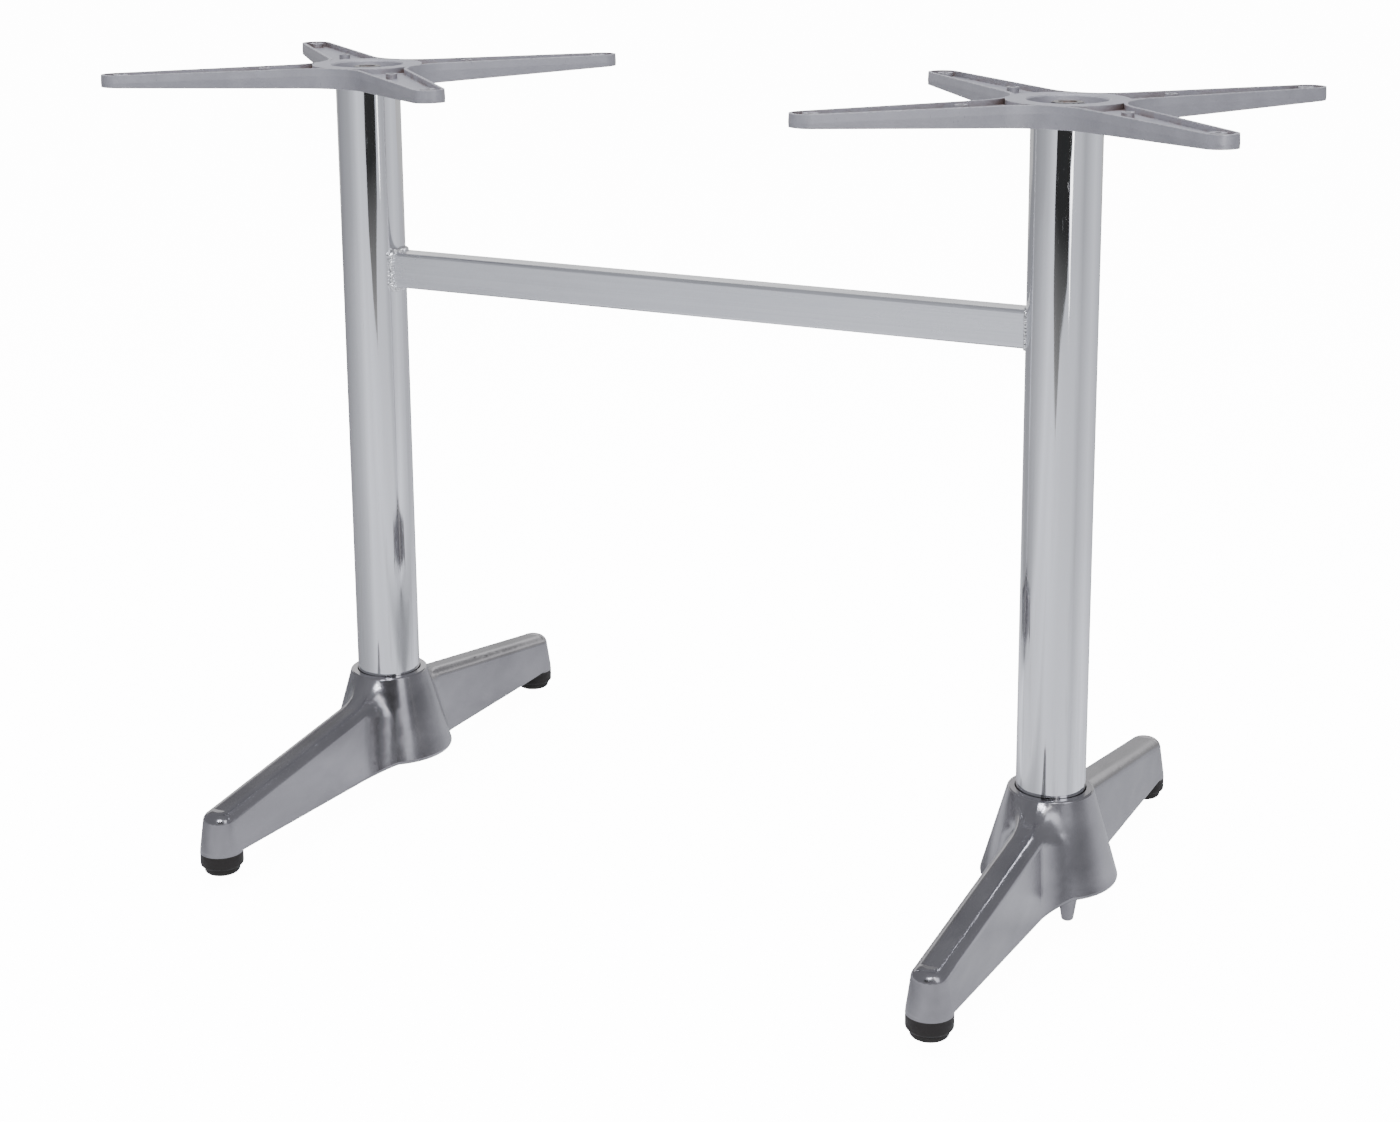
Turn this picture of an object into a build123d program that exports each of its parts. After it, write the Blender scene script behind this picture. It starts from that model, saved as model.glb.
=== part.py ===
import os
from math import asin, cos, radians, sin, sqrt, tan

from build123d import *

os.makedirs("parts", exist_ok=True)

# Twin pedestal table base: two columns joined by a crossbar, a four-arm spider on
# each column for the table top, and a two-arm foot under each with levelling glides.
# Millimetres. X runs through both columns, Y is the depth, Z is up from the floor.

# Whole base
overall_height = 700.0
column_spacing = 686.0

# Columns and crossbar
column_diameter = 60.0
column_wall = 2.0
bar_height = 33.0
bar_depth = 25.0
bar_wall = 1.6
bar_corner_radius = 3.0
bar_top_height = 525.0
weld_leg = 3.0
weld_bevel = 1.6

# Tie rods with their nuts and washers
rod_diameter = 16.0
rod_clearance = 0.5
nut_across_flats = 24.0
top_nut_height = 8.0
bottom_nut_height = 13.0
nut_bevel = 1.2
top_nut_turn = 12.0
rod_bevel = 1.0
washer_diameter = 30.0
washer_thickness = 3.0
washer_bevel = 0.4
rod_end_below_top_nut = 1.0
rod_end_below_bottom_nut = 4.0

# Spiders
spider_turn = 48.0
spider_reach = 243.8
spider_tip_radius = 14.0
spider_root_radius = 25.8
spider_hub_height = 19.0
spider_tip_height = 11.0
spider_ring_radius = 50.7
spider_ring_margin = 0.6
spider_rim_wall = 3.0
spider_channel_depth = 5.0
spider_floor_thickness = 3.0
spider_parting_depth = 7.0
spider_draft = 3.0
recess_radius = 33.3
recess_depth = 13.0
recess_draft = 6.0
recess_bevel = 1.2
column_seat_radius = 36.0
spigot_length = 8.0
spigot_wall = 3.5
spigot_clearance = 0.2
outer_boss_reach = 226.0
outer_boss_radius = 6.5
outer_boss_drop = 0.5
inner_boss_reach = 96.0
inner_boss_radius = 5.2
screw_hole_radius = 2.75

# Feet
foot_reach = 268.7
foot_bell_radius = 60.3
foot_rim_radius = 37.0
foot_rim_height = 108.0
foot_rim_rounding = 2.0
foot_edge_rounding = 3.0
foot_bell_lift = 7.0
foot_arm_root_half_width = 25.0
foot_toe_radius = 19.6
foot_toe_height = 58.0
foot_arm_draft = 8.0
foot_ridge_height = 96.0
foot_ridge_rounding = 10.0
foot_blend_radius = 42.0
foot_blend_room = 30.0
foot_under_sweep_start = 78.0
foot_under_sweep_end = 42.0
foot_wall = 5.0
socket_depth = 40.0
socket_clearance = 0.9
socket_wall = 5.0
socket_floor_thickness = 10.0
lug_x = 31.4
lug_y = -38.8
lug_end_radius = 5.0
lug_end_height = 6.5
lug_root_height = 48.0
lug_draft = 9.0
lug_rounding = 2.5

# Glides
glide_pad_radius = 15.9
glide_pad_height = 6.5
glide_pad_rounding = 3.5
glide_sleeve_radius = 19.3
glide_sleeve_height = 13.0
glide_sleeve_rounding = 3.0
stud_diameter = 8.0
stud_clearance = 0.3
stud_seat = 2.5
stud_top_height = 44.0
stud_bore_top_height = 47.0
toe_boss_wall = 5.0
toe_landing_radius = 19.4
toe_landing_height = 6.0

# How far outside a region an edge may lie and still be picked for it
picking_slack = 1.0

# Worked-out heights and radii
column_radius = column_diameter / 2
column_bore_radius = column_radius - column_wall
spider_underside = overall_height - spider_hub_height
spider_floor_top = overall_height - spider_channel_depth
spider_floor_underside = spider_floor_top - spider_floor_thickness
recess_floor = overall_height - recess_depth
foot_underside = glide_pad_height + glide_sleeve_height
bell_underside = foot_underside + foot_bell_lift
socket_floor = foot_rim_height - socket_depth
socket_floor_underside = socket_floor - socket_floor_thickness
socket_radius = column_radius + socket_clearance
rod_bore_radius = rod_diameter / 2 + rod_clearance
stud_bore_radius = stud_diameter / 2 + stud_clearance
bar_centre_height = bar_top_height - bar_height / 2
top_washer_base = recess_floor
top_nut_base = top_washer_base + washer_thickness
rod_top = top_nut_base + top_nut_height - rod_end_below_top_nut
bottom_washer_base = socket_floor_underside - washer_thickness
bottom_nut_base = bottom_washer_base - bottom_nut_height
rod_bottom = bottom_nut_base - rod_end_below_bottom_nut


def level(x, z, turn=0.0):
    """A horizontal plane at height z on the column axis at x, turned about that axis."""
    heading = (cos(radians(turn)), sin(radians(turn)), 0)
    return Plane(origin=(x, 0, z), x_dir=heading, z_dir=(0, 0, 1))


def side_view(x, turn=0.0):
    """The upright plane through a foot's arms: local x along the arms, local y up."""
    along = (-sin(radians(turn)), cos(radians(turn)), 0)
    across = (cos(radians(turn)), sin(radians(turn)), 0)
    return Plane(origin=(x, 0, 0), x_dir=along, z_dir=across)


def front_view(x):
    """The upright plane through a column axis for profiles that are revolved."""
    return Plane(origin=(x, 0, 0), x_dir=(1, 0, 0), z_dir=(0, -1, 0))


def upright_axis(x):
    """The centre line of the column at x."""
    return Axis((x, 0, 0), (0, 0, 1))


def save(piece, name):
    """Label a finished piece and write its STEP file."""
    piece.part.label = name
    export_step(piece.part, f"parts/{name}.step")


# Columns
def make_column(x):
    """Round tube from the foot's socket floor to the spider's underside."""
    with BuildPart() as column:
        with BuildSketch(level(x, socket_floor)):
            Circle(column_radius)
            Circle(column_bore_radius, mode=Mode.SUBTRACT)
        extrude(amount=spider_underside - socket_floor)
    return column


# Crossbar
def make_crossbar():
    """Rectangular tube, its ends cut to the round of the columns."""
    section = Plane(origin=(0, 0, bar_centre_height), x_dir=(0, 1, 0), z_dir=(1, 0, 0))
    with BuildPart() as crossbar:
        with BuildSketch(section):
            RectangleRounded(bar_depth, bar_height, bar_corner_radius)
            RectangleRounded(
                bar_depth - 2 * bar_wall,
                bar_height - 2 * bar_wall,
                bar_corner_radius - bar_wall,
                mode=Mode.SUBTRACT,
            )
        extrude(amount=column_spacing / 2, both=True)
        with BuildSketch(Plane.XY.offset(bar_top_height)):
            with GridLocations(column_spacing, 0, 2, 1):
                Circle(column_radius)
        extrude(amount=-bar_height, mode=Mode.SUBTRACT)
    return crossbar


def make_weld(x, inward):
    """Fillet weld round the crossbar's end; inward is the X direction of the bar."""
    section = Plane(origin=(x, 0, bar_centre_height), x_dir=(0, 1, 0), z_dir=(inward, 0, 0))
    with BuildPart() as weld:
        with BuildSketch(section):
            RectangleRounded(
                bar_depth + 2 * weld_leg,
                bar_height + 2 * weld_leg,
                bar_corner_radius + weld_leg,
            )
            RectangleRounded(bar_depth, bar_height, bar_corner_radius, mode=Mode.SUBTRACT)
        extrude(amount=column_radius + 2 * weld_leg)
        with BuildSketch(level(x, bar_centre_height)):
            Circle(column_radius + weld_leg)
            Circle(column_radius, mode=Mode.SUBTRACT)
        extrude(amount=bar_height, both=True, mode=Mode.INTERSECT)
        outer_face = weld.faces().sort_by(Axis((x, 0, bar_centre_height), (inward, 0, 0)))[-1]
        chamfer(outer_face.outer_wire().edges(), weld_bevel)
    return weld


# Spiders
def make_spider(x):
    """Four-arm top casting: open channels with thin rims round a ring and its recess."""
    tip_distance = spider_reach - spider_tip_radius
    arm_taper = asin((spider_root_radius - spider_tip_radius) / tip_distance)
    across_corner = (sin(arm_taper) + cos(arm_taper)) / sqrt(2)
    web_radius = spider_ring_radius + spider_ring_margin
    web_fillet = (across_corner * web_radius - spider_root_radius) / (1 - across_corner)
    spigot_radius = column_bore_radius - spigot_clearance

    with BuildSketch() as arm:
        Circle(spider_root_radius)
        with Locations((tip_distance, 0)):
            Circle(spider_tip_radius)
        make_hull()
    with BuildSketch() as outline:
        with PolarLocations(0, 4):
            add(arm.sketch)
        corners = outline.vertices().sort_by_distance((0, 0, 0))[:4]
        fillet(corners, web_fillet)
    with BuildSketch() as inside:
        add(outline.sketch)
        offset(amount=-spider_rim_wall, mode=Mode.REPLACE)

    with BuildPart() as spider:
        with BuildSketch(level(x, overall_height - spider_parting_depth, spider_turn)) as parting:
            add(outline.sketch)
        extrude(amount=spider_parting_depth, taper=spider_draft)
        extrude(
            parting.sketch,
            amount=spider_hub_height - spider_parting_depth,
            dir=(0, 0, -1),
            taper=spider_draft,
        )
        # The underside rises in a straight slope from the hub to the tips
        with BuildSketch(front_view(x)):
            with BuildLine():
                Polyline(
                    (spider_ring_radius, spider_underside),
                    (spider_reach, overall_height - spider_tip_height),
                    (spider_reach, spider_underside),
                    close=True,
                )
            make_face()
        revolve(axis=upright_axis(x), mode=Mode.SUBTRACT)
        # Channels above and below the floor of the arms
        with BuildSketch(level(x, overall_height, spider_turn)):
            add(inside.sketch)
            Circle(spider_ring_radius, mode=Mode.SUBTRACT)
        extrude(amount=-spider_channel_depth, mode=Mode.SUBTRACT)
        with BuildSketch(level(x, spider_underside, spider_turn)):
            add(inside.sketch)
            Circle(column_seat_radius, mode=Mode.SUBTRACT)
        extrude(amount=spider_floor_underside - spider_underside, mode=Mode.SUBTRACT)
        # Screw bosses standing on the floor
        with BuildSketch(level(x, spider_floor_underside, spider_turn)):
            with PolarLocations(outer_boss_reach, 4):
                Circle(outer_boss_radius)
        extrude(amount=overall_height - outer_boss_drop - spider_floor_underside)
        with BuildSketch(level(x, spider_floor_underside, spider_turn)):
            with PolarLocations(inner_boss_reach, 4):
                Circle(inner_boss_radius)
        extrude(amount=overall_height - spider_floor_underside)
        with BuildSketch(level(x, overall_height, spider_turn)):
            with PolarLocations(outer_boss_reach, 4):
                Circle(screw_hole_radius)
            with PolarLocations(inner_boss_reach, 4):
                Circle(screw_hole_radius)
        extrude(amount=-spider_hub_height, mode=Mode.SUBTRACT)
        # Spigot that centres the spider in the column, nut recess and rod bore
        with BuildSketch(level(x, spider_underside)):
            Circle(spigot_radius)
            Circle(spigot_radius - spigot_wall, mode=Mode.SUBTRACT)
        extrude(amount=-spigot_length)
        recess_floor_radius = recess_radius - (recess_depth - recess_bevel) * tan(radians(recess_draft))
        with BuildSketch(front_view(x)):
            with BuildLine():
                Polyline(
                    (0, recess_floor),
                    (recess_floor_radius, recess_floor),
                    (recess_radius, overall_height - recess_bevel),
                    (recess_radius + recess_bevel, overall_height),
                    (0, overall_height),
                    close=True,
                )
            make_face()
        revolve(axis=upright_axis(x), mode=Mode.SUBTRACT)
        with BuildSketch(level(x, overall_height)):
            Circle(rod_bore_radius)
        extrude(amount=-spider_hub_height, mode=Mode.SUBTRACT)
    return spider


# Feet
def arm_section(x, turn, distance):
    """Upright plane across a foot's arm, at a distance along it and level with its underside."""
    heading = radians(turn)
    middle = (x - distance * sin(heading), distance * cos(heading), foot_underside)
    across = (-cos(heading), -sin(heading), 0)
    return Plane(origin=middle, x_dir=across, z_dir=(-sin(heading), cos(heading), 0))


def arm_pair(x, turn, reach, inset, rounding):
    """Both arms of a foot: a drafted section lofted from toe to toe, with round toes."""
    ridge_fall = (foot_ridge_height - foot_toe_height) / foot_reach
    taper = (foot_arm_root_half_width - foot_toe_radius) / foot_reach
    stations = []
    for distance in (-reach, 0, reach):
        height = foot_ridge_height - ridge_fall * abs(distance) - foot_underside - inset
        half_width = foot_arm_root_half_width - taper * abs(distance) - inset
        stations.append((distance, height, half_width))
    toe_height, toe_half_width = stations[0][1:]
    toe_top_half_width = toe_half_width - toe_height * tan(radians(foot_arm_draft))

    with BuildPart() as arms:
        for distance, height, half_width in stations:
            with BuildSketch(arm_section(x, turn, distance)) as section:
                Trapezoid(
                    2 * half_width,
                    height,
                    90 - foot_arm_draft,
                    align=(Align.CENTER, Align.MIN),
                )
                fillet(section.vertices().group_by(Axis.Y)[-1], rounding)
        loft(ruled=True)
        for way in (-1, 1):
            toe = arm_section(x, turn, way * reach)
            with BuildSketch(toe) as profile:
                with BuildLine():
                    Polyline(
                        (0, 0),
                        (toe_half_width, 0),
                        (toe_top_half_width, toe_height),
                        (0, toe_height),
                        close=True,
                    )
                make_face()
                fillet(profile.vertices().group_by(Axis.Y)[-1].sort_by(Axis.X)[-1], rounding)
            revolve(axis=Axis(toe.origin, (0, 0, -way)), revolution_arc=180)
    return arms


def make_lug(x, turn):
    """Drafted lug cast inside the bell's skin, its round end below the bell's edge."""
    outer_radius = foot_bell_radius - foot_edge_rounding
    bell_slope = (foot_bell_radius - foot_rim_radius) / (foot_rim_height - bell_underside)
    root_radius = outer_radius - bell_slope * (lug_root_height - bell_underside)
    with BuildPart() as lug:
        with BuildSketch(level(x, lug_end_height, turn)):
            with Locations((lug_x, lug_y)):
                Circle(lug_end_radius)
        extrude(amount=lug_root_height - lug_end_height, taper=-lug_draft)
        fillet(lug.edges().filter_by(GeomType.CIRCLE).sort_by(Axis.Z)[0], lug_rounding)
        with BuildSketch(front_view(x)):
            with BuildLine():
                Polyline(
                    (0, lug_end_height),
                    (outer_radius, lug_end_height),
                    (outer_radius, bell_underside),
                    (root_radius, lug_root_height),
                    (0, lug_root_height),
                    close=True,
                )
            make_face()
        revolve(axis=upright_axis(x), mode=Mode.INTERSECT)
    return lug


def make_foot(x, turn):
    """Two-arm casting: a bell round the column, long rounded arms and an open underside."""
    bell_height = foot_rim_height - bell_underside
    bell_slope = (foot_bell_radius - foot_rim_radius) / bell_height
    skin_radius = foot_bell_radius - foot_wall
    sleeve_radius = socket_radius + socket_wall
    cavity_height = (skin_radius - sleeve_radius) / bell_slope - foot_wall
    cavity_top_radius = skin_radius - bell_slope * cavity_height
    under_run = foot_under_sweep_start - foot_under_sweep_end
    under_radius = (under_run**2 + foot_bell_lift**2) / (2 * foot_bell_lift)
    hollow_reach = foot_reach - stud_bore_radius - toe_boss_wall
    blend_top = foot_rim_height + foot_blend_room
    arms = arm_pair(x, turn, foot_reach, 0, foot_ridge_rounding)
    hollow = arm_pair(x, turn, hollow_reach, foot_wall, foot_ridge_rounding - foot_wall)
    lug = make_lug(x, turn)

    with BuildPart() as foot:
        with BuildSketch(front_view(x)):
            with BuildLine():
                Polyline(
                    (0, foot_underside),
                    (foot_bell_radius + bell_slope * foot_bell_lift, foot_underside),
                    (foot_rim_radius - bell_slope * foot_blend_room, blend_top),
                    (0, blend_top),
                    close=True,
                )
            make_face()
        revolve(axis=upright_axis(x))
        add(arms.part)
        # Blend where the arms sweep up the bell, as far as its rim
        bell_column = Vector(x, 0, (foot_underside + foot_rim_height) / 2)
        seams = [
            edge
            for edge in foot.edges().filter_by(GeomType.BSPLINE)
            if (edge.center() - bell_column).length < foot_bell_radius + foot_bell_lift
            and edge.center().Z > foot_underside + picking_slack
        ]
        fillet(seams, foot_blend_radius)
        with BuildSketch(level(x, foot_rim_height)):
            Circle(foot_bell_radius)
        extrude(amount=foot_blend_room, mode=Mode.SUBTRACT)
        # The underside rises under the bell
        with BuildSketch(side_view(x, turn)):
            with BuildLine():
                rise = RadiusArc(
                    (-foot_under_sweep_start, foot_underside),
                    (-foot_under_sweep_end, bell_underside),
                    -under_radius,
                )
                fall = RadiusArc(
                    (foot_under_sweep_end, bell_underside),
                    (foot_under_sweep_start, foot_underside),
                    -under_radius,
                )
                Line(rise @ 1, fall @ 0)
                Line(fall @ 1, rise @ 0)
            make_face()
        extrude(amount=2 * foot_bell_radius, both=True, mode=Mode.SUBTRACT)
        # Rounded lower edge of the bell and its blends
        lower_edges = [
            edge
            for edge in foot.edges()
            if max((edge @ part_way).Z for part_way in (0, 0.5, 1)) < bell_underside + picking_slack
            and abs((edge @ 0).Y) < foot_under_sweep_start + picking_slack
            and abs((edge @ 1).Y) < foot_under_sweep_start + picking_slack
            and abs(edge.center().X - x) > foot_toe_radius
        ]
        fillet(lower_edges, foot_edge_rounding)
        fillet(foot.faces().sort_by(Axis.Z)[-1].outer_wire().edges(), foot_rim_rounding)
        # Round landings for the glides under the toes
        with BuildSketch(level(x, foot_underside, turn)):
            with Locations((0, foot_reach), (0, -foot_reach)):
                Circle(toe_landing_radius)
        extrude(amount=toe_landing_height, taper=foot_arm_draft)
        # Hollow underside, closed round the socket and the toes
        add(hollow.part, mode=Mode.SUBTRACT)
        with BuildSketch(front_view(x)):
            with BuildLine():
                Polyline(
                    (0, foot_underside),
                    (skin_radius, foot_underside),
                    (skin_radius, bell_underside),
                    (cavity_top_radius, bell_underside + cavity_height),
                    (sleeve_radius, bell_underside + cavity_height),
                    (sleeve_radius, socket_floor_underside),
                    (0, socket_floor_underside),
                    close=True,
                )
            make_face()
        revolve(axis=upright_axis(x), mode=Mode.SUBTRACT)
        add(lug.part)
        # Socket for the column, bore for the tie rod and bores for the glides
        with BuildSketch(level(x, foot_rim_height)):
            Circle(socket_radius)
        extrude(amount=-socket_depth, mode=Mode.SUBTRACT)
        with BuildSketch(level(x, socket_floor)):
            Circle(rod_bore_radius)
        extrude(amount=-socket_floor_thickness, mode=Mode.SUBTRACT)
        with BuildSketch(level(x, foot_underside, turn)):
            with Locations((0, foot_reach), (0, -foot_reach)):
                Circle(stud_bore_radius)
        extrude(amount=stud_bore_top_height - foot_underside, mode=Mode.SUBTRACT)
    return foot


# Tie rods, nuts and washers
def make_rod(x):
    """Tie rod that clamps the spider and the foot onto the column's ends."""
    with BuildPart() as rod:
        with BuildSketch(level(x, rod_bottom)):
            Circle(rod_diameter / 2)
        extrude(amount=rod_top - rod_bottom)
        chamfer(rod.edges().filter_by(GeomType.CIRCLE), rod_bevel)
    return rod


def make_nut(x, base, height, turn):
    """Hexagon nut, its corners bevelled round at both ends."""
    corner_radius = nut_across_flats / 2 / cos(radians(30))
    with BuildPart() as nut:
        with BuildSketch(level(x, base, turn)):
            RegularPolygon(nut_across_flats / 2, 6, major_radius=False)
            Circle(rod_diameter / 2, mode=Mode.SUBTRACT)
        extrude(amount=height)
        with BuildSketch(front_view(x)):
            with BuildLine():
                Polyline(
                    (0, base),
                    (nut_across_flats / 2, base),
                    (corner_radius, base + nut_bevel),
                    (corner_radius, base + height - nut_bevel),
                    (nut_across_flats / 2, base + height),
                    (0, base + height),
                    close=True,
                )
            make_face()
        revolve(axis=upright_axis(x), mode=Mode.INTERSECT)
    return nut


def make_washer(x, base):
    """Plain washer under a nut."""
    with BuildPart() as washer:
        with BuildSketch(level(x, base)):
            Circle(washer_diameter / 2)
            Circle(rod_bore_radius, mode=Mode.SUBTRACT)
        extrude(amount=washer_thickness)
        outer_edges = washer.edges().filter_by(GeomType.CIRCLE).sort_by(SortBy.RADIUS)[-2:]
        chamfer(outer_edges, washer_bevel)
    return washer


# Glides
def make_sleeve(x, y):
    """Plastic sleeve pressed against the toe's underside, open for the stud."""
    with BuildPart() as sleeve:
        with BuildSketch(Plane((x, y, glide_pad_height))):
            Circle(glide_sleeve_radius)
            Circle(stud_bore_radius, mode=Mode.SUBTRACT)
        extrude(amount=glide_sleeve_height)
        outer_edges = sleeve.edges().filter_by(GeomType.CIRCLE).sort_by(SortBy.RADIUS)[-2:]
        fillet(outer_edges.sort_by(Axis.Z)[0], glide_sleeve_rounding)
    return sleeve


def make_pad(x, y):
    """Round plastic glide pad moulded onto the head of its stud."""
    with BuildPart() as pad:
        with BuildSketch(Plane((x, y, 0))):
            Circle(glide_pad_radius)
        extrude(amount=glide_pad_height)
        fillet(pad.edges().filter_by(GeomType.CIRCLE).sort_by(Axis.Z)[0], glide_pad_rounding)
        with BuildSketch(Plane((x, y, stud_seat))):
            Circle(stud_diameter / 2)
        extrude(amount=glide_pad_height - stud_seat, mode=Mode.SUBTRACT)
    return pad


def make_stud(x, y):
    """Steel stud that screws up into the toe and sets the pad's height."""
    with BuildPart() as stud:
        with BuildSketch(Plane((x, y, stud_seat))):
            Circle(stud_diameter / 2)
        extrude(amount=stud_top_height - stud_seat)
        chamfer(stud.edges().filter_by(GeomType.CIRCLE).sort_by(Axis.Z)[-1], rod_bevel)
    return stud


save(make_crossbar(), "crossbar")
for side, x, turn in (("left", -column_spacing / 2, 180.0), ("right", column_spacing / 2, 0.0)):
    save(make_column(x), f"{side}_column")
    save(make_weld(x, -x / abs(x)), f"{side}_weld")
    save(make_spider(x), f"{side}_spider")
    save(make_foot(x, turn), f"{side}_foot")
    save(make_rod(x), f"{side}_tie_rod")
    save(make_nut(x, top_nut_base, top_nut_height, top_nut_turn), f"{side}_top_nut")
    save(make_washer(x, top_washer_base), f"{side}_top_washer")
    save(make_nut(x, bottom_nut_base, bottom_nut_height, 0.0), f"{side}_bottom_nut")
    save(make_washer(x, bottom_washer_base), f"{side}_bottom_washer")
    for place, y in (("front", -foot_reach), ("back", foot_reach)):
        save(make_sleeve(x, y), f"{place}_{side}_glide_sleeve")
        save(make_pad(x, y), f"{place}_{side}_glide_pad")
        save(make_stud(x, y), f"{place}_{side}_glide_stud")
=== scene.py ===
from math import cos, pi, sin

import bpy
import numpy as np
from mathutils import Matrix, Vector


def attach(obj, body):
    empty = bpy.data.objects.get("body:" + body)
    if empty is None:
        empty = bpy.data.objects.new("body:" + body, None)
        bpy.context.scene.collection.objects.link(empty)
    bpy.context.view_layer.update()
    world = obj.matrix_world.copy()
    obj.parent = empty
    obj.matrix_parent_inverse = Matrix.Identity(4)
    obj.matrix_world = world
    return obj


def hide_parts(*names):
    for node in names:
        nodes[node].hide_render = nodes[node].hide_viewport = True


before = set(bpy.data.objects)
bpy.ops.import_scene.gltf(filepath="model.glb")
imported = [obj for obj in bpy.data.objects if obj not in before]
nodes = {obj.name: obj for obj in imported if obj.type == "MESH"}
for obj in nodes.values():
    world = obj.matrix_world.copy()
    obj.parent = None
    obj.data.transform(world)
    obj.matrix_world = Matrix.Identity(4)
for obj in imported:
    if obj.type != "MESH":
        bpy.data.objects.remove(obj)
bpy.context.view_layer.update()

# Twin pedestal table base: two polished columns, a crossbar, two cast spiders and two
# cast feet on levelling glides. Metres, X through both columns, Y the depth, Z up.

# Camera, from the photograph. Angles are in radians, lens and sensor in millimetres.
CAMERA_PLACE = (1.01107, -1.91796, 0.93478)
CAMERA_YAW = -0.47631
CAMERA_PITCH = -0.22198
CAMERA_ROLL = -0.00589
CAMERA_LENS = 63.983
CAMERA_SENSOR = 36.0
CAMERA_SHIFT = (-0.0117, -0.1400)

# Level directions on the floor: away from the camera, and to its right
AWAY = np.array([sin(CAMERA_YAW), cos(CAMERA_YAW)])
ACROSS = np.array([AWAY[1], -AWAY[0]])

# Sizes the weld beads share with the CAD model
COLUMN_X = 0.343
COLUMN_RADIUS = 0.030
BAR_TOP = 0.525
BAR_HEIGHT = 0.033
BAR_DEPTH = 0.025
BAR_CORNER = 0.003

# Weld beads: points along and round each, how far the middle line stands off the bar and off the
# column as shares of the bead's radius, and how far up and down a swelling spreads
BEAD_STEPS = 480
BEAD_SIDES = 36
BEAD_OFF_BAR = 0.15
BEAD_OFF_COLUMN = 0.35
BLOB_SPREAD = 0.0028
LEFT_BEAD = {"radius": 0.0028, "ripple": 0.13, "blobs": [(0.0145, 0.35), (-0.0155, 0.45)]}
RIGHT_BEAD = {"radius": 0.0014, "ripple": 0.07, "blobs": []}

# Which finish each kind of CAD node gets, by the end of its name. Slots have the same names.
FINISH_OF_KIND = {
    "column": "polished_aluminium",
    "crossbar": "satin_aluminium",
    "spider": "cast_grey",
    "foot": "cast_polished",
    "weld": "weld_metal",
    "tie_rod": "rod_steel",
    "nut": "nut_steel",
    "washer": "nut_steel",
    "glide_sleeve": "glide_plastic",
    "glide_pad": "glide_plastic",
    "glide_stud": "nut_steel",
}

# The floor lies just under the pads when they are screwed right out, so it hides none of them at
# any pose. The floor that the light and the reflections see is a little lower.
FLOOR_LEVEL = -0.0105
FLOOR_GAP = 0.001
FLOOR_REACH = 40
FLOOR_GLOW = 14.0

# How bright the surroundings are that the polished metal shows, by the bearing in degrees from the
# camera's own side of a column: negative to the left of it, positive to the right
SURROUNDINGS = (
    (-180, 0.34), (-150, 0.25), (-128, 0.26), (-97, 0.36), (-74, 0.44), (-53, 0.64), (-35, 0.98),
    (0, 0.76), (35, 0.70), (53, 0.48), (74, 0.68), (97, 0.86), (128, 0.66), (180, 0.40),
)
# Half the strip between the columns in which one column's bearings pass over into the other's
STRIP_HALF_WIDTH = 0.15
# Close to a column the right side is brighter still and the left side darker, by this much
NEAR_LEAN = 0.40
NEAR_LEAN_START, NEAR_LEAN_END = 0.1, 1.2

# The light's tint, the brightness of the air, and each soft light's place, aim, size, power in
# watts and whether reflections show it
TINT = (0.90, 0.925, 1.00)
AIR_BRIGHTNESS = 0.42
SOFT_LIGHTS = {
    "light_over": ((0.0, -0.3, 3.0), (0.0, 0.0, 0.3), (3.0, 2.0), 200, False),
    "light_left": ((-2.2, -2.4, 1.6), (0.0, 0.0, 0.3), (1.4, 1.8), 28, False),
    "light_right": ((2.8, -1.2, 1.5), (0.2, 0.0, 0.3), (1.0, 1.8), 12, True),
}
# Two lamps stand side by side above the camera, a little behind it
LAMP_ASIDE = 0.32
LAMP_BEHIND = 0.3
LAMP_HEIGHT = 2.1
LAMP_AIM = (0.1, 0.0, 0.2)
LAMP_SIZE = (0.3, 0.8)
LAMP_POWER = 19

# Upright cards that only reflections show: the floor point that each stands over, and its outline
# as (aside, height)
DARK_CARD_PLACE = (0.57, -1.04)
DARK_CARD_OUTLINE = (
    (-0.50, 0.85), (-0.56, 0.45), (-0.55, 0.32), (-0.32, 0.21), (-0.12, 0.15),
    (-0.05, 0.21), (0.06, 0.29), (0.32, 0.36), (0.42, 0.45), (0.38, 0.85),
)
BRIGHT_CARD_PLACE = (0.80, -0.55)
BRIGHT_CARD_OUTLINE = ((-0.08, 0.85), (-0.05, 0.55), (-0.02, 0.38), (0.02, 0.42), (0.06, 0.85))
BRIGHT_CARD_GLOW = 4.0
BACK_CARD_DISTANCE = 3.0
BACK_CARD_OUTLINE = ((-5.0, 0.0), (3.0, 0.0), (3.0, 2.2), (-5.0, 2.2))


# Shader nodes

def add_node(tree, kind, inputs=None, **settings):
    """Adds a node of that kind; inputs maps a socket to a value or to another socket."""
    node = tree.nodes.new("ShaderNode" + kind)
    for key, value in settings.items():
        setattr(node, key, value)
    for key, value in (inputs or {}).items():
        if isinstance(value, bpy.types.NodeSocket):
            tree.links.new(value, node.inputs[key])
        else:
            node.inputs[key].default_value = value
    return node


def new_finish(name, colour, metal, roughness):
    """A material whose shader's own sockets hold the plain values.
    Returns it with its node tree, its shader and the Object coordinates."""
    material = bpy.data.materials.new(name)
    material.use_nodes = True
    tree = material.node_tree
    shader = tree.nodes["Principled BSDF"]
    shader.inputs["Base Color"].default_value = (*colour, 1.0)
    shader.inputs["Metallic"].default_value = metal
    shader.inputs["Roughness"].default_value = roughness
    place = add_node(tree, "TexCoord").outputs["Object"]
    return material, tree, shader, place


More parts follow.
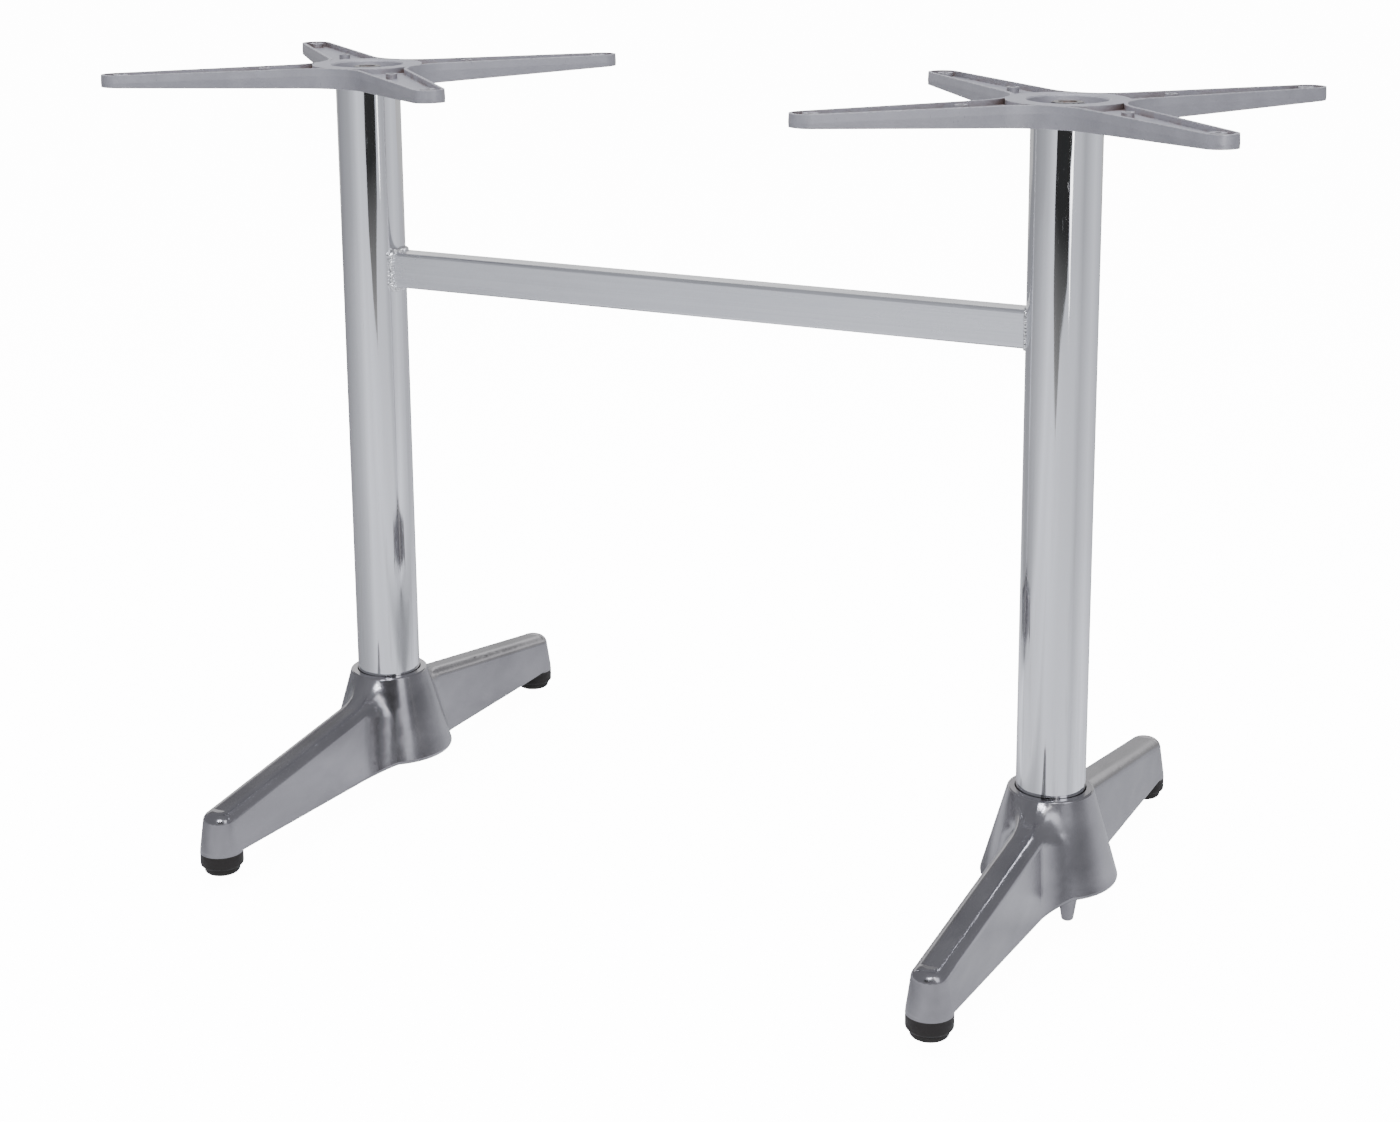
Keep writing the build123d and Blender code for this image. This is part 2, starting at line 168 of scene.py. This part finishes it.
def connect(tree, shader, colour, roughness, normal):
    """Joins a finish's worked-out colour, roughness and normal to its shader."""
    tree.links.new(colour, shader.inputs["Base Color"])
    tree.links.new(roughness, shader.inputs["Roughness"])
    tree.links.new(normal, shader.inputs["Normal"])


def stretched_noise(tree, place, stretch, detail, distortion=0.0, shift=(0, 0, 0)):
    """Noise whose grain is as fine as stretch says, in lumps per metre along each axis."""
    mapping = add_node(tree, "Mapping", {"Vector": place, "Location": shift, "Scale": stretch})
    inputs = {
        "Vector": mapping.outputs[0], "Scale": 1.0,
        "Detail": detail, "Roughness": 0.55, "Distortion": distortion,
    }
    return add_node(tree, "TexNoise", inputs).outputs["Fac"]


def even_noise(tree, place, fineness, detail, distortion=0.0, shift=(0, 0, 0)):
    """Noise of the same grain along all three axes."""
    return stretched_noise(tree, place, (fineness, fineness, fineness), detail, distortion, shift)


def remap(tree, value, low, high, to_low=0.0, to_high=1.0):
    """value, from low..high to to_low..to_high, held at the ends."""
    node = add_node(
        tree, "MapRange",
        {"Value": value, "From Min": low, "From Max": high, "To Min": to_low, "To Max": to_high},
    )
    return node.outputs["Result"]


def math_node(tree, operation, a, b):
    """One sum, product or other operation of two values."""
    return add_node(tree, "Math", {0: a, 1: b}, operation=operation).outputs[0]


def product(tree, a, b):
    """a times b."""
    return math_node(tree, "MULTIPLY", a, b)


def total(tree, a, b):
    """a plus b."""
    return math_node(tree, "ADD", a, b)


def weighted(tree, first, second):
    """Two fifths of the first value and three fifths of the second."""
    return total(tree, product(tree, first, 0.4), product(tree, second, 0.6))


def height_of(tree, place):
    """The height above the floor of a place on the object."""
    return add_node(tree, "SeparateXYZ", {"Vector": place}).outputs["Z"]


def blend_colours(tree, factor, first, second):
    """first where factor is 0, second where it is 1."""
    node = add_node(tree, "Mix", data_type="RGBA")
    factor_socket, first_socket, second_socket, result_socket = 0, 6, 7, 2
    tree.links.new(factor, node.inputs[factor_socket])
    for index, colour in ((first_socket, first), (second_socket, second)):
        if isinstance(colour, bpy.types.NodeSocket):
            tree.links.new(colour, node.inputs[index])
        else:
            node.inputs[index].default_value = (*colour, 1.0)
    return node.outputs[result_socket]


def bump_up(tree, height, depth, normal=None):
    """A bump of that depth in metres, laid over an earlier one."""
    inputs = {"Height": height, "Distance": depth, "Strength": 1.0}
    if normal is not None:
        inputs["Normal"] = normal
    return add_node(tree, "Bump", inputs).outputs["Normal"]


def edge_mask(tree, radius):
    """1 on edges and 0 on flats: how far the normal rounded over that radius leans from the true one."""
    rounded = add_node(tree, "Bevel", {"Radius": radius}, samples=4).outputs["Normal"]
    true = add_node(tree, "NewGeometry").outputs["Normal"]
    lean = add_node(tree, "VectorMath", {0: rounded, 1: true}, operation="DOT_PRODUCT").outputs["Value"]
    flat, edge = 0.99, 0.85
    return remap(tree, lean, flat, edge)


def corner_mask(tree, distance):
    """1 in corners that are deep for that distance and 0 on open faces."""
    shade = add_node(tree, "AmbientOcclusion", {"Distance": distance}, samples=4, only_local=False)
    open_face, deep_corner = 0.75, 0.30
    return remap(tree, shade.outputs["AO"], open_face, deep_corner)


# Finishes

def polished_aluminium():
    """Mirror-polished tube: long faint waves, fine lines along it, sparse scratches, stains low down."""
    clean, stained = (0.88, 0.88, 0.90), (0.50, 0.50, 0.51)
    wave_depth, line_depth = 0.00035, 0.000012
    stains_end, stains_full, stain_share = 0.45, 0.12, 0.55
    scratch_roughness = 0.22
    material, tree, shader, place = new_finish("polished_aluminium", clean, metal=1.0, roughness=0.07)
    waves = stretched_noise(tree, place, (38, 38, 3.2), detail=2, distortion=0.8)
    lines = stretched_noise(tree, place, (420, 420, 2.0), detail=2, shift=(6, 2, 1))
    scratches = stretched_noise(tree, place, (1100, 1100, 45), detail=2, shift=(3, 1, 2))
    smears = stretched_noise(tree, place, (30, 30, 6), detail=3, shift=(9, 4, 1))
    stains = stretched_noise(tree, place, (110, 110, 5), detail=4, shift=(2, 7, 0))
    rough = remap(tree, smears, 0.35, 0.75, 0.05, 0.11)
    rough = total(tree, rough, product(tree, remap(tree, scratches, 0.67, 0.76), scratch_roughness))
    low = remap(tree, height_of(tree, place), stains_end, stains_full)
    stain = product(tree, product(tree, remap(tree, stains, 0.55, 0.75), low), stain_share)
    normal = bump_up(tree, waves, wave_depth)
    normal = bump_up(tree, lines, line_depth, normal)
    connect(tree, shader, blend_colours(tree, stain, clean, stained), rough, normal)
    return material


def satin_aluminium():
    """Drawn satin tube: faint streaks along the bar and a few darker smears."""
    dark, pale = (0.80, 0.805, 0.83), (0.90, 0.905, 0.93)
    streak_depth, line_depth = 0.00004, 0.00001
    material, tree, shader, place = new_finish("satin_aluminium", pale, metal=1.0, roughness=0.30)
    streaks = stretched_noise(tree, place, (3, 260, 600), detail=3)
    lines = stretched_noise(tree, place, (16, 1500, 2200), detail=2)
    smears = stretched_noise(tree, place, (9, 45, 45), detail=3, shift=(4, 4, 4))
    shade = remap(tree, weighted(tree, streaks, smears), 0.38, 0.62)
    rough = remap(tree, smears, 0.3, 0.7, 0.24, 0.34)
    normal = bump_up(tree, streaks, streak_depth)
    normal = bump_up(tree, lines, line_depth, normal)
    connect(tree, shader, blend_colours(tree, shade, dark, pale), rough, normal)
    return material


def cast_grey():
    """Blasted grey casting: fine grain, faint blotches, bright scuffed edges that also carry a painted
    highlight, rust in the corners and painted shade darkening them.
    """
    dark, pale = (0.325, 0.318, 0.342), (0.375, 0.368, 0.392)
    # Scuff colour: real edge wear that also paints a highlight along the rims
    scuff_and_highlight, nicked = (0.72, 0.71, 0.72), (0.12, 0.115, 0.12)
    # Corner colour: painted shade, laid where the occlusion mask finds corners; the rust colour is real
    corner_shade_colour, rusty = (0.17, 0.155, 0.16), (0.16, 0.095, 0.07)
    scuff_and_highlight_share, nick_share, corner_shade_share, rust_share = 0.85, 0.6, 0.6, 0.65
    scuff_shine = 0.15
    edge_radius, corner_depth = 0.0014, 0.018
    grain_depth, blotch_depth = 0.00004, 0.00012
    material, tree, shader, place = new_finish("cast_grey", pale, metal=0.6, roughness=0.46)
    grain = even_noise(tree, place, 1300, detail=2)
    blotches = even_noise(tree, place, 55, detail=3, shift=(1, 2, 3))
    scuffs = stretched_noise(tree, place, (450, 90, 450), detail=3, distortion=0.6, shift=(5, 5, 5))
    nicks = stretched_noise(tree, place, (700, 700, 240), detail=2, shift=(7, 3, 8))
    # Edge wear mask; it also paints a highlight along the rims
    worn = product(tree, edge_mask(tree, edge_radius), remap(tree, scuffs, 0.36, 0.58))
    corners = corner_mask(tree, corner_depth)
    rust = product(tree, corners, remap(tree, blotches, 0.44, 0.56))
    shade = remap(tree, weighted(tree, grain, blotches), 0.35, 0.65)
    colour = blend_colours(tree, shade, dark, pale)
    colour = blend_colours(tree, product(tree, worn, scuff_and_highlight_share), colour, scuff_and_highlight)
    colour = blend_colours(tree, product(tree, remap(tree, nicks, 0.70, 0.76), nick_share), colour, nicked)
    # Painted shade: corners darkened by the occlusion mask
    colour = blend_colours(tree, product(tree, corners, corner_shade_share), colour, corner_shade_colour)
    colour = blend_colours(tree, product(tree, rust, rust_share), colour, rusty)
    rough = remap(tree, blotches, 0.3, 0.7, 0.42, 0.52)
    rough = math_node(tree, "SUBTRACT", rough, product(tree, worn, scuff_shine))
    normal = bump_up(tree, grain, grain_depth)
    normal = bump_up(tree, blotches, blotch_depth, normal)
    connect(tree, shader, colour, rough, normal)
    return material


def cast_polished():
    """Satin-polished casting: faint cloudy bands, hair lines from the mop, tiny pits, painted shade
    darkening the corners.
    """
    dark, pale = (0.288, 0.279, 0.293), (0.395, 0.384, 0.40)
    # The second colour is painted shade for the corners
    pitted, corner_shade_colour = (0.25, 0.25, 0.26), (0.30, 0.30, 0.31)
    line_depth, cloud_depth, pit_depth = 0.000005, 0.00022, 0.000012
    pit_edge, pit_middle, pit_share = 0.13, 0.05, 0.7
    corner_depth, corner_shade_share = 0.006, 0.4
    material, tree, shader, place = new_finish("cast_polished", pale, metal=1.0, roughness=0.25)
    clouds = stretched_noise(tree, place, (26, 8, 20), detail=3, distortion=0.3)
    lines = stretched_noise(tree, place, (900, 70, 300), detail=2, shift=(2, 2, 2))
    patches = even_noise(tree, place, 50, detail=2, shift=(8, 1, 4))
    spots = add_node(tree, "TexVoronoi", {"Vector": place, "Scale": 300.0}, feature="F1").outputs["Distance"]
    pits = product(tree, remap(tree, spots, pit_edge, pit_middle), remap(tree, patches, 0.60, 0.70))
    colour = blend_colours(tree, remap(tree, clouds, 0.35, 0.65), dark, pale)
    colour = blend_colours(tree, product(tree, pits, pit_share), colour, pitted)
    # Painted shade: darker in the corners that the occlusion mask finds
    corner_shade = product(tree, corner_mask(tree, corner_depth), corner_shade_share)
    colour = blend_colours(tree, corner_shade, colour, corner_shade_colour)
    rough = remap(tree, clouds, 0.3, 0.7, 0.17, 0.24)
    normal = bump_up(tree, lines, line_depth)
    normal = bump_up(tree, clouds, cloud_depth, normal)
    normal = bump_up(tree, math_node(tree, "SUBTRACT", 0.0, pits), pit_depth, normal)
    connect(tree, shader, colour, rough, normal)
    return material


def weld_metal():
    """Bare aluminium weld: bright crumpled skin with dull grey hollows."""
    bright, dull = (0.93, 0.93, 0.93), (0.50, 0.49, 0.50)
    crumple_depth = 0.00022
    material, tree, shader, place = new_finish("weld_metal", bright, metal=1.0, roughness=0.2)
    soot = even_noise(tree, place, 420, detail=3)
    crumple = even_noise(tree, place, 900, detail=2, distortion=1.0, shift=(4, 2, 6))
    colour = blend_colours(tree, remap(tree, soot, 0.52, 0.68), bright, dull)
    rough = remap(tree, soot, 0.35, 0.7, 0.12, 0.36)
    connect(tree, shader, colour, rough, bump_up(tree, crumple, crumple_depth))
    return material


def rod_steel():
    """Plain steel rod: dark mill skin with brown rust."""
    skin, rusty = (0.33, 0.31, 0.31), (0.24, 0.11, 0.07)
    rust_depth = 0.00012
    material, tree, shader, place = new_finish("rod_steel", skin, metal=0.85, roughness=0.42)
    rust = even_noise(tree, place, 420, detail=5)
    colour = blend_colours(tree, remap(tree, rust, 0.42, 0.60), skin, rusty)
    rough = remap(tree, rust, 0.3, 0.7, 0.34, 0.70)
    connect(tree, shader, colour, rough, bump_up(tree, rust, rust_depth))
    return material


def nut_steel():
    """Plated nuts and washers, dulled, with worn corners and specks of rust."""
    dark, pale = (0.30, 0.29, 0.29), (0.48, 0.47, 0.46)
    rusty, worn = (0.22, 0.10, 0.06), (0.68, 0.67, 0.66)
    rust_share, wear_share, edge_radius = 0.7, 0.6, 0.0006
    plating_depth = 0.00008
    material, tree, shader, place = new_finish("nut_steel", pale, metal=1.0, roughness=0.36)
    plating = even_noise(tree, place, 300, detail=4)
    specks = even_noise(tree, place, 900, detail=3, shift=(3, 3, 3))
    colour = blend_colours(tree, remap(tree, plating, 0.35, 0.65), dark, pale)
    rust = product(tree, remap(tree, specks, 0.60, 0.70), rust_share)
    wear = product(tree, edge_mask(tree, edge_radius), wear_share)
    colour = blend_colours(tree, rust, colour, rusty)
    colour = blend_colours(tree, wear, colour, worn)
    rough = remap(tree, plating, 0.3, 0.7, 0.26, 0.46)
    connect(tree, shader, colour, rough, bump_up(tree, plating, plating_depth))
    return material


def glide_plastic():
    """Black moulded plastic with a fine texture, rubbed grey near the floor."""
    black, rubbed = (0.016, 0.013, 0.0115), (0.050, 0.045, 0.041)
    grain_depth = 0.00006
    rubbing_end, rubbing_full, rubbing_share = 0.010, 0.001, 0.5
    material, tree, shader, place = new_finish("glide_plastic", black, metal=0.0, roughness=0.48)
    shader.inputs["Specular IOR Level"].default_value = 0.36
    grain = even_noise(tree, place, 1600, detail=2)
    dust = stretched_noise(tree, place, (160, 160, 420), detail=4)
    low = remap(tree, height_of(tree, place), rubbing_end, rubbing_full)
    rubbing = product(tree, low, remap(tree, dust, 0.45, 0.65))
    colour = blend_colours(tree, product(tree, rubbing, rubbing_share), black, rubbed)
    rough = remap(tree, dust, 0.3, 0.7, 0.40, 0.60)
    connect(tree, shader, colour, rough, bump_up(tree, grain, grain_depth))
    return material


# Surfaces

def closed_surface(name, points, material, body):
    """A smooth mesh from a grid of points (rows, columns, 3) that closes on itself both ways."""
    rows, columns = points.shape[:2]
    index = np.arange(rows * columns).reshape(rows, columns)
    index = np.vstack([index, index[:1]])
    index = np.hstack([index, index[:, :1]])
    corners = [index[:-1, :-1], index[:-1, 1:], index[1:, 1:], index[1:, :-1]]
    faces = np.stack(corners, axis=-1).reshape(-1, 4)
    mesh = bpy.data.meshes.new(name)
    mesh.from_pydata(points.reshape(-1, 3).tolist(), [], faces.tolist())
    mesh.materials.append(material)
    mesh.polygons.foreach_set("use_smooth", np.ones(len(faces), bool))
    mesh.update()
    piece = bpy.data.objects.new(name, mesh)
    bpy.context.scene.collection.objects.link(piece)
    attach(piece, body)
    return piece


def bar_outline(steps):
    """Evenly spaced points round the crossbar's outline, a rectangle with quarter circles at its corners.
    Returns the travel to each, its (y, z) from the bar's middle and its outward direction."""
    half_y, half_z = BAR_DEPTH / 2 - BAR_CORNER, BAR_HEIGHT / 2 - BAR_CORNER
    runs = np.array([2 * half_z, BAR_CORNER * pi / 2, 2 * half_y, BAR_CORNER * pi / 2] * 2)
    ends = np.concatenate([[0.0], np.cumsum(runs)])
    travel = np.linspace(0.0, ends[-1], steps, endpoint=False)
    run = np.searchsorted(ends, travel, side="right") - 1
    share = (travel - ends[run]) / runs[run]
    quarter = run // 2
    is_straight = run % 2 == 0
    angle = np.where(is_straight, quarter, quarter + share) * (pi / 2)
    finish = np.array([(half_y, half_z), (-half_y, half_z), (-half_y, -half_z), (half_y, -half_z)])
    start = np.roll(finish, 1, axis=0)
    on_side = start[quarter] + (finish[quarter] - start[quarter]) * share[:, None]
    middle = np.where(is_straight[:, None], on_side, finish[quarter])
    outward = np.stack([np.cos(angle), np.sin(angle)], axis=1)
    return travel, middle + outward * BAR_CORNER, outward


def weld_bead(name, side, radius, ripple, blobs):
    """A bead round the bar where it meets the column. Its middle line is the bar's outline carried onto the
    column's round. Its section is a circle whose radius rises and falls by ripple: in a cosine wave of
    3.4 mm along the line, pushed to and fro by a slower sine along it and a cosine round it, plus lumps that
    are a product of two slanting sines, plus a plain slow sine. Each blob (height from the bar's middle,
    swell) adds a Gaussian swelling on the front."""
    travel, outline, outward = bar_outline(BEAD_STEPS)
    around = np.linspace(0.0, 2 * pi, BEAD_SIDES, endpoint=False)
    along, turn = travel[:, None] * 1000, around[None, :]  # along is in millimetres
    wave = along / 3.4 * 2 * pi + 1.6 * np.sin(along / 5.3) + 1.2 * np.cos(turn)
    lumps = np.sin(along * 2.3 + 2.0 * np.sin(turn + along * 0.7)) * np.sin(2 * turn + along * 1.1)
    size = radius * (1 + ripple * (np.cos(wave) + 0.7 * lumps + 0.5 * np.sin(along / 1.9)))
    front = (outline[:, 0] < 0)[:, None]
    for height, swell in blobs:
        nearness = np.exp(-(((outline[:, 1:2] - height) / BLOB_SPREAD) ** 2))
        size = size * (1 + swell * nearness * front)
    line = outline + outward * radius * BEAD_OFF_BAR
    inward = COLUMN_X - np.sqrt(COLUMN_RADIUS**2 - line[:, 0] ** 2) - radius * BEAD_OFF_COLUMN
    off_bar = outward[:, None, :] * (size * np.sin(turn))[..., None]
    points = np.empty((len(travel), len(around), 3))
    points[..., 0] = side * (inward[:, None] - size * np.cos(turn))
    points[..., 1] = line[:, None, 0] + off_bar[..., 0]
    points[..., 2] = BAR_TOP - BAR_HEIGHT / 2 + line[:, None, 1] + off_bar[..., 1]
    if side > 0:
        points = points[:, ::-1]
    piece = closed_surface(name, points, finishes["weld_metal"], "base")
    return piece


# The studio

def flat_card(name, corners, material):
    """A flat panel that belongs to the studio and not to the object."""
    mesh = bpy.data.meshes.new(name)
    mesh.from_pydata(corners, [], [tuple(range(len(corners)))])
    mesh.materials.append(material)
    card = bpy.data.objects.new(name, mesh)
    bpy.context.scene.collection.objects.link(card)
    return card


def new_glow(name, strength, base):
    """A studio surface of that grey that also gives off an even light, with its tree, shader and place."""
    material, tree, shader, place = new_finish(name, (base, base, base), metal=0.0, roughness=0.9)
    shader.inputs["Specular IOR Level"].default_value = 0.0
    shader.inputs["Emission Color"].default_value = (1.0, 1.0, 1.0, 1.0)
    shader.inputs["Emission Strength"].default_value = strength
    return material, tree, shader, place


def pale_floor():
    """The even pale floor that the camera sees."""
    return new_glow("pale_floor", FLOOR_GLOW, 0.5)[0]


def grey_floor():
    """The floor that reflections show. Its glow goes round the nearer column by the bearings in
    SURROUNDINGS, and close to the column it leans towards the right."""
    material, tree, shader, place = new_glow("grey_floor", 1.0, 0.2)
    split = add_node(tree, "SeparateXYZ", {"Vector": place}).outputs
    nearer = remap(tree, split["X"], -STRIP_HALF_WIDTH, STRIP_HALF_WIDTH, -COLUMN_X, COLUMN_X)
    aside = math_node(tree, "SUBTRACT", split["X"], nearer)
    toward = total(
        tree, product(tree, aside, float(-AWAY[0])), product(tree, split["Y"], float(-AWAY[1])))
    across = total(
        tree, product(tree, aside, float(ACROSS[0])), product(tree, split["Y"], float(ACROSS[1])))
    bearing = math_node(tree, "ARCTAN2", across, toward)
    ramp = add_node(tree, "ValToRGB", {"Fac": remap(tree, bearing, -pi, pi)})
    stops = ramp.color_ramp.elements
    while len(stops) < len(SURROUNDINGS):
        stops.new(0.5)
    for stop, (degrees, brightness) in zip(stops, SURROUNDINGS):
        stop.position = (degrees + 180) / 360
        stop.color = (*(brightness * np.array(TINT)), 1.0)
    tree.links.new(ramp.outputs["Color"], shader.inputs["Emission Color"])
    offset = add_node(tree, "CombineXYZ", {"X": aside, "Y": split["Y"]}).outputs[0]
    distance = add_node(tree, "VectorMath", {0: offset}, operation="LENGTH").outputs["Value"]
    near = remap(tree, distance, NEAR_LEAN_START, NEAR_LEAN_END, NEAR_LEAN, 0.0)
    lean = math_node(tree, "DIVIDE", across, distance)
    strength = total(tree, 1.0, product(tree, near, lean))
    tree.links.new(strength, shader.inputs["Emission Strength"])
    return material


def studio_floor():
    """A pale floor that only the camera sees, and just under it the one for light and reflections."""
    reach = FLOOR_REACH
    square = [(-reach, -reach), (reach, -reach), (reach, reach), (-reach, reach)]
    seen = flat_card("floor", [(x, y, FLOOR_LEVEL) for x, y in square], pale_floor())
    seen.visible_glossy = False
    seen.visible_diffuse = False
    lit = flat_card("floor_light", [(x, y, FLOOR_LEVEL - FLOOR_GAP) for x, y in square], grey_floor())
    lit.visible_camera = False
    lit.visible_shadow = False


def soft_light(name, place, aim, size, power, in_reflections):
    """A large soft panel of light at place, facing aim, not seen by the camera itself."""
    data = bpy.data.lights.new(name, "AREA")
    data.shape = "RECTANGLE"
    data.size, data.size_y = size
    data.energy = power
    data.color = TINT
    light = bpy.data.objects.new(name, data)
    light.location = place
    light.rotation_euler = (Vector(aim) - Vector(place)).to_track_quat("-Z", "Y").to_euler()
    light.visible_camera = False
    light.visible_glossy = in_reflections
    bpy.context.scene.collection.objects.link(light)


def studio_lights():
    """Grey air all round, soft lights over and beside the object, and two lamps above the camera."""
    world = bpy.data.worlds.new("studio_air")
    world.use_nodes = True
    air = world.node_tree.nodes["Background"]
    air.inputs["Color"].default_value = (*TINT, 1.0)
    air.inputs["Strength"].default_value = AIR_BRIGHTNESS
    bpy.context.scene.world = world
    for name, settings in SOFT_LIGHTS.items():
        soft_light(name, *settings)
    for name, aside in (("lamp_left", -LAMP_ASIDE), ("lamp_right", LAMP_ASIDE)):
        x = CAMERA_PLACE[0] + ACROSS[0] * aside
        y = CAMERA_PLACE[1] + ACROSS[1] * aside - LAMP_BEHIND
        soft_light(name, (x, y, LAMP_HEIGHT), LAMP_AIM, LAMP_SIZE, LAMP_POWER, True)


def dark_cloth():
    """Nearly black cloth that turns grey towards its foot."""
    top_glow, foot_glow = 0.02, 0.35
    foot_top, foot_bottom = 0.42, 0.15
    material, tree, shader, place = new_glow("dark_cloth", top_glow, 0.01)
    strength = remap(tree, height_of(tree, place), foot_top, foot_bottom, top_glow, foot_glow)
    tree.links.new(strength, shader.inputs["Emission Strength"])
    return material


def bright_cloth():
    """Brightly lit white cloth."""
    return new_glow("bright_cloth", BRIGHT_CARD_GLOW, 0.5)[0]


def back_cloth():
    """Pale cloth behind the object, dimmer low down and fading to dark above."""
    low_glow, middle_glow, top_share = 0.55, 1.6, 0.1
    material, tree, shader, place = new_glow("back_cloth", middle_glow, 0.1)
    height = height_of(tree, place)
    low_part = remap(tree, height, 0.70, 0.95, low_glow, middle_glow)
    high_part = remap(tree, height, 1.20, 1.60, 1.0, top_share)
    tree.links.new(product(tree, low_part, high_part), shader.inputs["Emission Strength"])
    return material


def standing_card(name, middle, outline, material):
    """An upright panel over the floor point middle, facing the object, that only reflections show."""
    away = np.array(middle) / np.hypot(*middle)
    across = np.array([away[1], -away[0]])
    corners = [
        (middle[0] - across[0] * aside, middle[1] - across[1] * aside, height)
        for aside, height in outline
    ]
    card = flat_card(name, corners, material)
    card.visible_camera = False
    card.visible_diffuse = False
    card.visible_shadow = False


def studio_cards():
    """A dark and a bright card on the camera's side and a wide pale one behind the object."""
    standing_card("dark_card", DARK_CARD_PLACE, DARK_CARD_OUTLINE, dark_cloth())
    standing_card("bright_card", BRIGHT_CARD_PLACE, BRIGHT_CARD_OUTLINE, bright_cloth())
    standing_card("back_card", tuple(AWAY * BACK_CARD_DISTANCE), BACK_CARD_OUTLINE, back_cloth())


def photo_camera():
    """The camera at the photograph's place. Yaw turns it about Z, pitch tips it, and roll turns it about
    its own line of sight."""
    ahead = np.array([*(AWAY * cos(CAMERA_PITCH)), sin(CAMERA_PITCH)])
    level = np.array([*ACROSS, 0.0])
    upright = np.cross(level, ahead)
    right = cos(CAMERA_ROLL) * level + sin(CAMERA_ROLL) * upright
    up = cos(CAMERA_ROLL) * upright - sin(CAMERA_ROLL) * level
    data = bpy.data.cameras.new("photo_camera")
    data.sensor_width = CAMERA_SENSOR
    data.lens = CAMERA_LENS
    data.shift_x, data.shift_y = CAMERA_SHIFT
    camera = bpy.data.objects.new("photo_camera", data)
    turn = Matrix((right, up, -ahead)).transposed().to_4x4()
    camera.matrix_world = Matrix.Translation(CAMERA_PLACE) @ turn
    bpy.context.scene.collection.objects.link(camera)
    bpy.context.scene.camera = camera


# Finishes on the CAD nodes

finishes = {
    make.__name__: make()
    for make in (
        polished_aluminium, satin_aluminium, cast_grey, cast_polished,
        weld_metal, rod_steel, nut_steel, glide_plastic,
    )
}
for name, node in nodes.items():
    kind = next(kind for kind in FINISH_OF_KIND if name.endswith(kind))
    node.data.materials.clear()
    node.data.materials.append(finishes[FINISH_OF_KIND[kind]])

# Weld beads, which stand for the CAD model's plain fillets

left_bead = weld_bead("left_weld_bead", -1, **LEFT_BEAD)
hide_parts("left_weld")
right_bead = weld_bead("right_weld_bead", 1, **RIGHT_BEAD)
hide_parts("right_weld")

# Floor, lights, cards and camera

studio_floor()
studio_lights()
studio_cards()
photo_camera()
